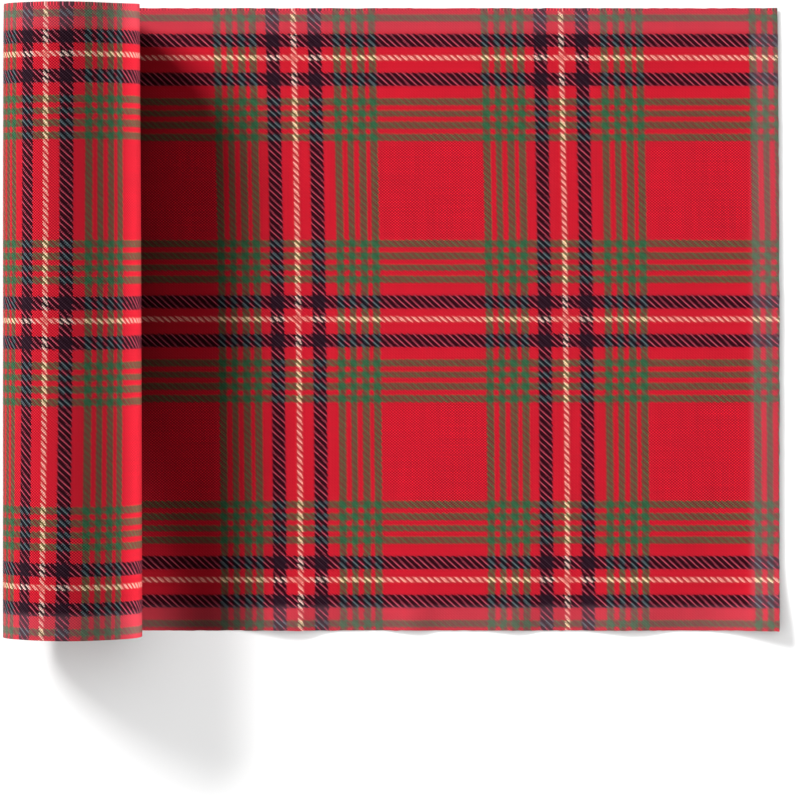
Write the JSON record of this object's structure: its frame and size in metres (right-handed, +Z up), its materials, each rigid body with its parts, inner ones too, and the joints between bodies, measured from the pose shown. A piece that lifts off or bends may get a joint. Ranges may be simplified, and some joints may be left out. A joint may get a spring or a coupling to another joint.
{
  "type": "table runner",
  "caption": "Woven tartan cotton table runner, partly wound on a cardboard core and partly laid out flat along a table, with sealed cut edges.",
  "frame": {"origin": "on the table, under the middle of the whole outline of roll and laid cloth", "axes": "+Z up, +X from the roll along the laid cloth to its free end, +Y along the roll"},
  "size_m": [0.397, 0.32, 0.0693],
  "materials": {
    "tartan_cotton": "yarn-dyed cotton twill in a red tartan, matt, with a paler sealed band along every cut edge",
    "kraft_board": "spiral-wound kraft board, matt",
    "tape_film": "double-sided tape, off-white, semi-matt"
  },
  "bodies": {
    "laid_run": {"laid_cloth": "tartan_cotton"},
    "take_off": {"take_off_cloth": "tartan_cotton"},
    "roll": {"wound_cloth": "tartan_cotton", "core_tube": "kraft_board", "start_tape": "tape_film"}
  },
  "joints": [
    {"name": "roll_travel", "type": "slide", "parent": "laid_run", "child": "take_off", "axis": [1, 0, 0], "range_m": [0, 0.2199]},
    {"name": "roll_turn", "type": "hinge", "parent": "take_off", "child": "roll", "pos_m": [-0.1635, 0, 0.035], "axis": [0, 1, 0], "range_deg": [0, 360]}
  ],
  "couplings": [
    {"joint": "roll_turn", "follows": "roll_travel", "rad_per_m": 28.571}
  ]
}
